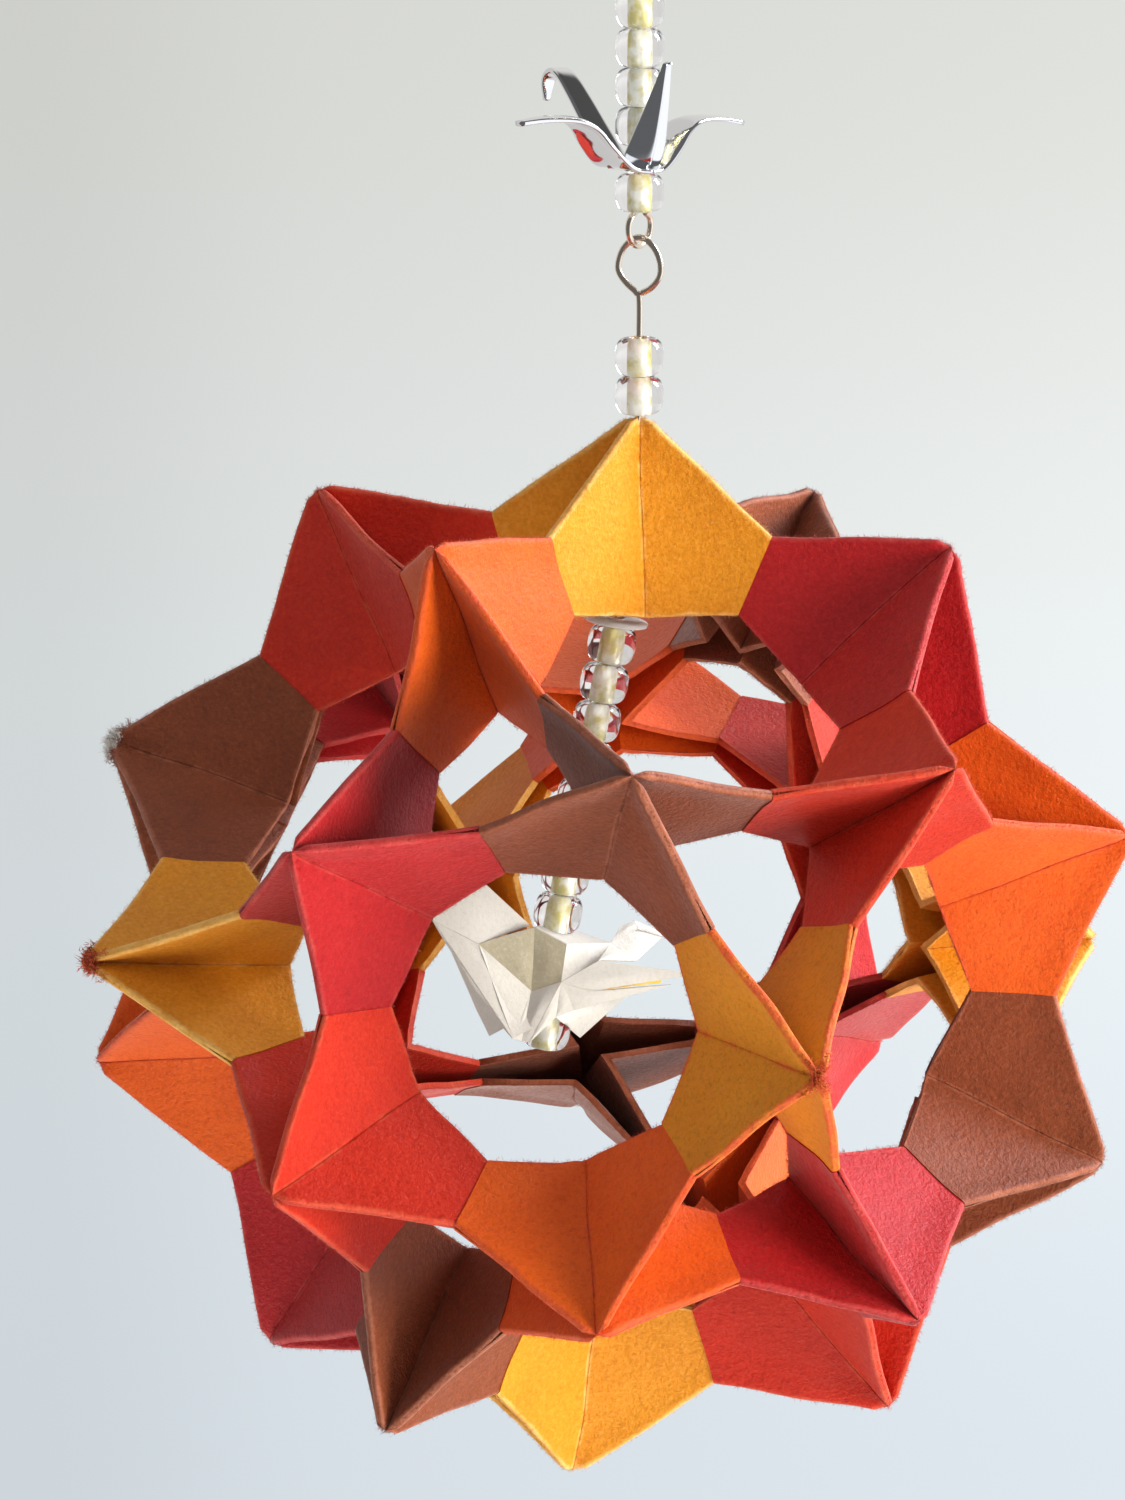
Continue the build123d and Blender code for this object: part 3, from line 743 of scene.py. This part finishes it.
# Metal charm: strips bent along smooth curves; each row is x, y, z, half width and dish depth in millimetres
charm = {
    "metal": 0.5, "thin": 0.35, "narrowest": 0.12, "corner": 0.45, "along": 48, "around": 32,
    "yaw": math.radians(38), "roll": math.radians(3.5), "shift": 0.001, "seat": peakHeight + 0.0213,
    "wing": [
        (0.0, 0.0, 0.25, 3.2, 0.0), (1.7, 0.0, 0.95, 2.9, 0.45), (3.6, -0.05, 2.8, 2.5, 0.65),
        (5.4, -0.1, 4.2, 2.1, 0.35), (7.4, -0.18, 4.8, 1.65, 0.15), (10.4, -0.27, 4.8, 1.0, 0.1),
        (13.2, -0.35, 4.4, 0.5, 0.0),
    ],
    "farWing": 0.92,
    "neck": [
        (0, 1.4, 0.35, 1.5, 0.0), (0, 3.2, 1.6, 1.5, 0.0), (0, 5.4, 3.6, 1.4, 0.0), (0, 8.0, 6.1, 1.25, 0.0),
        (0, 10.0, 7.8, 1.15, 0.0), (0, 11.4, 8.2, 1.05, 0.0), (0, 12.5, 7.2, 0.8, 0.0),
        (0, 12.7, 5.4, 0.3, 0.0),
    ],
    "tailLeft": [
        (-1.0, -1.5, 0.3, 1.3, 0), (-1.1, -2.6, 2.2, 1.25, 0), (-0.75, -3.5, 5.6, 0.8, 0),
        (-0.2, -4.3, 10.0, 0.2, 0),
    ],
    "tailRight": [
        (0.55, -1.6, 0.3, 0.95, 0), (0.5, -2.7, 2.2, 0.9, 0), (0.4, -3.5, 5.6, 0.62, 0),
        (0.2, -4.25, 10.1, 0.32, 0),
    ],
}


def smoothPath(rows, count):
    # A cubic through the rows: at each row it runs parallel to the line between the rows beside it
    rows = np.asarray(rows, float)
    padded = np.concatenate([[2 * rows[0] - rows[1]], rows, [2 * rows[-1] - rows[-2]]])
    spot = np.linspace(0, len(rows) - 1, count)
    step = np.minimum(spot.astype(int), len(rows) - 2)
    t = (spot - step)[:, None]
    a, b, c, d = [padded[step + ahead] for ahead in range(4)]
    bend, twist = 2 * a - 5 * b + 4 * c - d, 3 * b - a - 3 * c + d
    return 0.5 * (2 * b + (c - a) * t + bend * t ** 2 + twist * t ** 3)


def stripPoints(rows, wide, thick):
    # Closed tube round a strip: a flat superellipse of the half width and thickness, dished by the square
    # of the way across, carried along the curve
    path = smoothPath(rows, charm["along"])
    centre, half, dish = path[:, :3], np.maximum(path[:, 3], charm["narrowest"]), path[:, 4]
    wide = np.asarray(wide, float)
    forward = unit(np.gradient(centre, axis=0))
    side = unit(wide - (forward @ wide)[:, None] * forward)
    up = np.cross(side, forward)
    angle = np.linspace(0, 2 * math.pi, charm["around"], endpoint=False)
    flatX = np.sign(np.cos(angle)) * np.abs(np.cos(angle)) ** charm["corner"]
    flatZ = np.sign(np.sin(angle)) * np.abs(np.sin(angle)) ** charm["corner"]
    offset = flatX[None] * half[:, None]
    lift = flatZ[None] * thick / 2 + dish[:, None] * flatX[None] ** 2
    grid = centre[:, None] + offset[..., None] * side[:, None] + lift[..., None] * up[:, None]
    first = centre[:1, None] + np.zeros_like(grid[:1])
    last = centre[-1:, None] + np.zeros_like(grid[:1])
    return np.concatenate([first, grid, last])


def tubeFaces(rows, columns, start):
    # Quads between each ring of points and the next, closed round the tube
    index = start + np.arange(rows * columns).reshape(rows, columns)
    beside = np.roll(index, -1, 1)
    return np.stack([index[:-1], index[1:], beside[1:], beside[:-1]], -1).reshape(-1, 4)


def makeCharm():
    # Two wings, the neck and the tail's two flats as strips, rolled and turned to their place
    strips = []
    for sign, reach in ((1, charm["farWing"]), (-1, 1)):
        rows = [(x * sign * reach, y, z, w, d) for x, y, z, w, d in charm["wing"]]
        strips.append((rows, (0, sign, 0), charm["metal"]))
    # The tail's flats meet in a ridge: the wide one looks left, the narrow one right
    strips += [
        (charm["neck"], (-1, 0, 0), charm["metal"]), (charm["tailLeft"], (1, -0.55, 0), charm["thin"]),
        (charm["tailRight"], (1, -0.1, 0), charm["metal"]),
    ]
    points, faces, count = [], [], 0
    for strip in strips:
        grid = stripPoints(*strip)
        points.append(grid.reshape(-1, 3))
        faces.append(tubeFaces(*grid.shape[:2], count))
        count += grid.shape[0] * grid.shape[1]
    points = np.concatenate(points) / 1000 - (charm["shift"], 0, 0)
    points = turned(turned(points, (0, 1, 0), charm["roll"]), (0, 0, 1), charm["yaw"])
    piece = buildMesh("crane_charm_metal", points + (0, 0, charm["seat"]), np.concatenate(faces).tolist())
    piece.data.materials.append(slotMaterials["charm_metal"])
    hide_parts("crane_charm")
    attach(piece, "hanger")


makeCharm()
print("charm")


# Wires: round tubes along smooth curves, in millimetres and degrees; a row is x, y, z and its plane's turn.
# A loop's points are the way across in halves of its width, and the height. The shaft's heights come with
# their turn, the pin's are over the peak, and the strand's last points are beside and over the end bead's foot
wire = {
    "thick": 0.6, "sides": 14, "perRow": 12, "tip": 0.75, "eyeWidth": 4.25, "linkHeight": 3.15, "linkTurn": 62,
    "topLoop": 0.3, "eyeTurn": -28, "eyeRise": 15.4, "clear": 0.1, "strandTop": (-1.9, -19.0),
    "sag": 0.95, "sagAt": 0.72, "shaft": ((-7, 0), (-14, 10)), "overLink": ((8, 55), (4.6, 62)),
    "pin": (6, 0.4), "strandEnd": ((-0.35, 1.6), (-0.38, 0.1)),
    "eye": [
        (0.10, -4.98), (0.55, -4.45), (0.93, -3.5), (1.0, -2.4), (0.76, -1.05), (0.26, -0.1), (-0.26, -0.1),
        (-0.76, -1.05), (-1.0, -2.4), (-0.95, -3.3), (-0.6, -4.2), (-0.16, -4.95), (0, -5.6),
    ],
    "link": [
        (0, 3.75), (-0.42, 3.3), (-0.9, 2.6), (-1.0, 1.6), (-0.76, 0.6), (-0.28, 0.04), (0.28, 0.04),
        (0.76, 0.6), (1.0, 1.6), (0.9, 2.5), (0.5, 3.1),
    ],
    "linkDrawn": 3.4,
}


def loopRows(shape, turn, base, stretch=1):
    # A loop's rows: the way across turned into its plane, the height stretched above its base
    half = wire["eyeWidth"] / 2
    east, north = math.cos(math.radians(turn)), math.sin(math.radians(turn))
    return [(x * half * east, x * half * north, base + z * stretch, turn) for x, z in shape]


def makeWire(name, rows, body):
    # Tube with rounded ends round the curve; its cross-section turns with the loop's plane
    path = smoothPath(rows, wire["perRow"] * len(rows))
    centre = path[:, :3] / 1000
    forward = unit(np.gradient(centre, axis=0))
    turn = np.radians(path[:, 3])
    plane = np.stack([-np.sin(turn), np.cos(turn), np.zeros_like(turn)], -1)
    side = unit(np.cross(forward, plane))
    up = np.cross(side, forward)
    angle = np.linspace(0, 2 * math.pi, wire["sides"], endpoint=False)
    radius = np.full(len(centre), wire["thick"] / 2000)
    radius[[0, -1]] *= wire["tip"]
    ring = np.cos(angle)[None, :, None] * side[:, None] + np.sin(angle)[None, :, None] * up[:, None]
    grid = centre[:, None] + ring * radius[:, None, None]
    grid = np.concatenate([centre[:1, None] + grid[:1] * 0, grid, centre[-1:, None] + grid[:1] * 0])
    piece = buildMesh(name + "_round", grid.reshape(-1, 3), tubeFaces(*grid.shape[:2], 0).tolist())
    piece.data.materials.append(slotMaterials["wire"])
    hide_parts(name)
    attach(piece, body)


peakMm = peakHeight * 1000
eyeTop = peakMm + wire["eyeRise"]
linkBottom = eyeTop - wire["thick"] - wire["clear"]
linkTurn, eyeTurn = wire["linkTurn"], wire["eyeTurn"]
shaft = [(0, 0, z, turn) for z, turn in wire["shaft"]]
shaft += [(0, 0, linkBottom + z, turn) for z, turn in wire["overLink"]]
link = loopRows(wire["link"], linkTurn, linkBottom, wire["linkHeight"] / wire["linkDrawn"])
makeWire("hanger_wire", loopRows(wire["eye"], 0, wire["topLoop"]) + shaft + link, "hanger")
# The strand falls from the throat to the end bead and sags a little to the left
endLow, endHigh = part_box("end_bead")
endX, endZ = (endLow.x + endHigh.x) * 500, endLow.z * 1000
topX, topZ, sagAt = wire["strandTop"][0], peakMm + wire["strandTop"][1], wire["sagAt"]
pin = [(0, 0, peakMm + z, eyeTurn) for z in wire["pin"]]
strand = [
    (topX, 0, topZ, eyeTurn),
    (endX * sagAt + topX * (1 - sagAt) - wire["sag"], 0, endZ * sagAt + topZ * (1 - sagAt), eyeTurn),
] + [(endX + x, 0, endZ + z, eyeTurn) for x, z in wire["strandEnd"]]
makeWire("eye_pin", loopRows(wire["eye"], eyeTurn, eyeTop) + pin + strand, "ball")
print("wires")


# Paper crane: thin folded flats between named corners, in millimetres from the middle of its back
crane = {
    "ply": 0.14, "steps": 9, "wave": 0.10, "waveSize": 6.0, "waveEdge": 0.3, "puff": 0.22, "hang": 0.00258,
    "tip": (-10.5, -3.0, 8.0), "wingLeft": (-12.1, -5.0, 2.1), "wingFold": (-8.0, -4.4, -0.2),
    "wingRight": (-3.3, -1.7, 0.9), "hump": (-2.9, -2.9, 1.0), "bowlRight": (0.0, -2.8, -0.6),
    "bowlLow": (-3.2, -2.6, -5.0), "keel": (-4.1, -3.4, -9.5), "keelLeft": (-4.9, -3.9, -9.1),
    "headTip": (-7.0, -2.0, -9.3), "headSide": (-8.1, -2.4, -6.9), "stripMid": (-10.4, -4.6, -0.9),
    "stripLow": (-5.7, -3.3, -8.3), "hip": (-0.5, -3.2, -4.0), "belly": (-1.0, -2.6, -7.4),
    "keelRight": (-3.4, -3.3, -9.6), "rump": (2.9, -2.4, -2.2), "tail": (11.9, -0.8, -3.8),
    "slitTop": (2.2, -2.6, -5.0), "tailLow": (9.5, -1.2, -4.7), "tailUnder": (0.8, -2.3, -6.8),
    "flapLeft": (-1.1, 0.9, -7.9), "flapTop": (2.0, 1.0, -6.3), "flapRight": (5.6, 1.4, -6.2),
    "flapLow": (1.2, 1.2, -10.2), "backRight": (4.0, 0.4, -1.2), "farTop": (6.1, 3.2, 0.3),
    "farEdge": (9.1, 4.6, -1.2), "farLow": (6.4, 0.6, -2.9), "farEnd": (10.8, 5.2, -2.2),
    "ear": (4.9, 2.0, 0.0), "earRight": (6.5, 2.6, -0.4), "spine": (-1.2, 2.6, 0.2),
    "spineLow": (-1.6, 1.6, -5.6), "goldTop": (8.6, -1.2, -4.15), "goldLow": (8.6, -1.2, -4.52),
}
# Each flat's corners and its code; code 4 paints the bowl's shade, and a broken number paints shade on a flat
# with the deep tone of a valley
flats = [
    ("tip", "wingRight", "wingFold", "wingLeft", 0), ("wingLeft", "wingFold", "bowlLow", "keelLeft", 0),
    ("wingLeft", "keelLeft", "stripLow", "stripMid", 0), ("stripMid", "stripLow", "headTip", "headSide", 0),
    # The bowl's two flats, code 4, are painted with shade
    ("wingFold", "hump", "bowlLow", "bowlLow", 4), ("hump", "bowlRight", "hip", "bowlLow", 4),
    ("bowlLow", "keel", "keelLeft", "keelLeft", 0.6), ("bowlLow", "hip", "keelRight", "keel", 0),
    ("hip", "belly", "keelRight", "keelRight", 0), ("bowlRight", "backRight", "rump", "hip", 0),
    ("hip", "rump", "tail", "slitTop", 0), ("hip", "slitTop", "tailLow", "tailUnder", 0),
    ("hip", "tailUnder", "belly", "belly", 0), ("slitTop", "goldTop", "goldLow", "slitTop", 5),
    ("belly", "flapTop", "flapRight", "flapLow", 0), ("flapLeft", "flapTop", "flapRight", "flapLow", 0),
    ("backRight", "farTop", "farEdge", "farLow", 0), ("farTop", "earRight", "farEnd", "farEdge", 0),
    ("backRight", "ear", "farTop", "earRight", 0.3), ("backRight", "farLow", "rump", "rump", 0),
    ("hump", "spine", "backRight", "bowlRight", 0), ("spine", "spineLow", "rump", "backRight", 0.3),
    ("hump", "wingFold", "spineLow", "spine", 0.3), ("wingFold", "keelLeft", "belly", "spineLow", 0.3),
]


def makeCrane():
    # Each flat is spread between its four corners, puffed in the middle and slightly wavy:
    # a front and a back grid, each half a ply off along its normal, and rim grids between them
    seat = middleOf("inner_bead_8") + unit(strandAxis) * crane["hang"]
    steps = np.linspace(0, 1, crane["steps"] + 1)
    rise, run = [part[..., None] for part in np.meshgrid(steps, steps, indexing="ij")]
    patches = Patches()
    for count, (*corners, shade) in enumerate(flats):
        a, b, c, d = [np.array(crane[corner]) for corner in corners]
        grid = (a * (1 - run) + b * run) * (1 - rise) + (d * (1 - run) + c * run) * rise
        normal = unit(np.cross(c - a, b - d + 1e-9))
        inward = np.minimum(rise, 1 - rise) * np.minimum(run, 1 - run) * 4
        wave = ripple(grid, crane["waveSize"], 900 + count)[..., None] * crane["wave"]
        grid = grid + normal * wave * (crane["waveEdge"] + inward)
        grid = grid + normal * inward * crane["puff"]
        front, back = grid + normal * crane["ply"] / 2, grid - normal * crane["ply"] / 2
        marks = np.full(grid.shape[:2] + (4,), farOff)
        # A broken code paints shade: the flat is marked as lying on a valley, for the valley's deep tone
        marks[..., 1] = farOff if shade % 1 == 0 else 0.0
        marks[..., 3] = shade
        patches.add(front, marks, True)
        patches.add(back, marks)
        for rim in (np.s_[0], np.s_[-1], np.s_[:, 0], np.s_[:, -1]):
            edge = np.stack([front[rim], back[rim]])
            edgeMarks = np.full(edge.shape[:2] + (4,), farOff)
            edgeMarks[..., 3] = code["edge"]
            patches.add(edge, edgeMarks)
    points = np.concatenate(patches.points) / 1000 + seat
    marks = np.concatenate(patches.marks)
    faces = np.concatenate(patches.faces).tolist()
    piece = buildMesh("paper_crane_folded", points, faces, {"folds": marks[:, :3], "side": marks[:, 3]})
    piece.data.materials.append(slotMaterials["pearl_paper"])
    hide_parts("paper_crane")
    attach(piece, "ball")


makeCrane()
print("crane")


# Wall behind, in its own coordinates: the spans over which its tone and glow change
room = {
    "distance": 0.5, "size": 6.0, "low": (0.655, 0.715, 0.76, 1), "high": (0.655, 0.665, 0.635, 1),
    "mirrored": (0.68, 0.67, 0.655, 1), "lit": (0.72, 0.73, 0.74, 1), "rise": (-0.29, -0.05),
    "right": (-0.09, 0.09), "rightGlow": 1.13, "corner": (-0.09, -0.04), "cornerLoss": 0.06,
    "middle": -0.17, "middleReach": 0.13, "middleGlow": 0.04, "middleRight": 0.15,
    "hiddenRise": (0.35, 0.7), "hiddenRight": (0.0, 0.35), "hidden": 0.9,
}


def backdropLook():
    # Seen directly, mirrored or through glass the wall shines: its tone goes from low to high, its glow
    # grows to the right and in a middle band and falls at the left; other rays find a plain white wall
    material, tree, surface = newMaterial("backdrop", {
        "Base Color": room["lit"], "Roughness": 1, "Specular IOR Level": 0,
    })
    where = node(tree, "ShaderNodeTexCoord").outputs["Object"]
    across, upward, _ = node(tree, "ShaderNodeSeparateXYZ", {0: where}).outputs
    highness = ramp(tree, upward, *room["rise"], shape="SMOOTHSTEP")
    rightness = ramp(tree, across, *room["right"])
    tone = blendColour(tree, highness, room["low"], room["high"])
    bright = ramp(tree, rightness, 0.0, 1.0, 1.0, room["rightGlow"])
    fromMiddle = calc(tree, "ABSOLUTE", plus(tree, upward, -room["middle"]))
    middle = fade(tree, fromMiddle, 0.0, room["middleReach"])
    middle = times(tree, middle, plus(tree, times(tree, rightness, room["middleRight"]), room["middleGlow"]))
    corner = times(tree, fade(tree, across, *room["corner"]), room["cornerLoss"])
    glow = minus(tree, plus(tree, bright, middle), corner)
    # Mirrors find a neutral wall, nearly dark high up at the right
    rays = node(tree, "ShaderNodeLightPath").outputs
    high = minus(tree, 1, fade(tree, upward, *room["hiddenRise"]))
    high = times(tree, high, minus(tree, 1, fade(tree, across, *room["hiddenRight"])))
    tone = blendColour(tree, rays["Is Glossy Ray"], tone, room["mirrored"])
    hidden = times(tree, times(tree, rays["Is Glossy Ray"], high), room["hidden"])
    glow = times(tree, glow, minus(tree, 1, hidden))
    shine = node(tree, "ShaderNodeEmission", {"Color": tone, "Strength": glow})
    direct = calc(tree, "MAXIMUM", rays["Is Camera Ray"], rays["Is Glossy Ray"])
    direct = calc(tree, "MAXIMUM", direct, rays["Is Transmission Ray"])
    mixed = node(tree, "ShaderNodeMixShader", {0: direct, 1: surface.outputs[0], 2: shine.outputs[0]})
    # From behind the wall can be seen through
    backside = node(tree, "ShaderNodeNewGeometry").outputs["Backfacing"]
    clear = node(tree, "ShaderNodeBsdfTransparent")
    behind = node(tree, "ShaderNodeMixShader", {0: backside, 1: mixed.outputs[0], 2: clear.outputs[0]})
    fill(tree, tree.nodes["Material Output"], {"Surface": behind.outputs[0]})
    return material


upright = (math.pi / 2, 0, 0)
bpy.ops.mesh.primitive_plane_add(size=room["size"], location=(0, room["distance"], 0), rotation=upright)
backdrop = bpy.context.object
backdrop.data.materials.append(backdropLook())

# Area lights: place, size, power, tint, and whether mirrors find them
lights = {
    "key": ((1.15, -0.57, -0.14), 0.6, 27, (1, 0.98, 0.94), False),
    "window": ((1.0, 0.40, 0.50), 0.7, 23, (0.92, 0.97, 1.1), True),
    "floor": ((-0.1, -0.5, -1.1), 1.0, 13, (1, 0.97, 0.93), False),
    "sky": ((-0.45, -0.75, 0.75), 0.9, 3.2, (1, 0.98, 0.95), False),
}
for name, (place, size, power, tint, mirrored) in lights.items():
    lamp = bpy.data.lights.new(name, "AREA")
    lamp.size = size
    lamp.energy = power
    lamp.color = tint
    holder = bpy.data.objects.new(name, lamp)
    bpy.context.scene.collection.objects.link(holder)
    holder.location = place
    holder.visible_glossy = mirrored
    aim = (low + high) / 2 - holder.location
    holder.rotation_mode = "QUATERNION"
    holder.rotation_quaternion = aim.to_track_quat("-Z", "Y")

# World: its strength for all rays, what camera and glass rays find on top, and the mirrors' dark and bright
sky = {
    "colour": (0.93, 0.95, 1, 1), "all": 0.37, "seen": 0.33, "through": 0.55, "dark": -0.24, "bright": 0.85,
    "patches": (((0.80, -0.20, -0.56), 0.72, 0.90), ((0.91, -0.41, -0.05), 0.86, 0.95)),
}
world = bpy.data.worlds.new("room")
bpy.context.scene.world = world
world.use_nodes = True
tree = world.node_tree
rays = node(tree, "ShaderNodeLightPath").outputs
towards = node(tree, "ShaderNodeTexCoord").outputs["Generated"]
glow = sky["dark"]
for direction, near, far in sky["patches"]:
    facing = node(tree, "ShaderNodeVectorMath", {0: towards, 1: direction}, operation="DOT_PRODUCT")
    patch = ramp(tree, facing.outputs["Value"], near, far, sky["dark"], sky["bright"], "SMOOTHSTEP")
    glow = calc(tree, "MAXIMUM", glow, patch)
strength = times(tree, rays["Is Glossy Ray"], glow)
for kind, share in (("Is Transmission Ray", sky["through"]), ("Is Camera Ray", sky["seen"])):
    strength = plus(tree, strength, times(tree, rays[kind], share))
fill(tree, tree.nodes["Background"], {"Strength": plus(tree, strength, sky["all"]), "Color": sky["colour"]})

lens = bpy.data.cameras.new("camera")
lens.lens = shot["lens"]
camera = bpy.data.objects.new("camera", lens)
bpy.context.scene.collection.objects.link(camera)
camera.location = (shot["aside"], shot["away"], peakHeight + shot["rise"])
camera.rotation_euler = (math.pi / 2 - shot["pitch"], 0, 0)
bpy.context.scene.camera = camera
bpy.context.scene.view_settings.view_transform = "Standard"
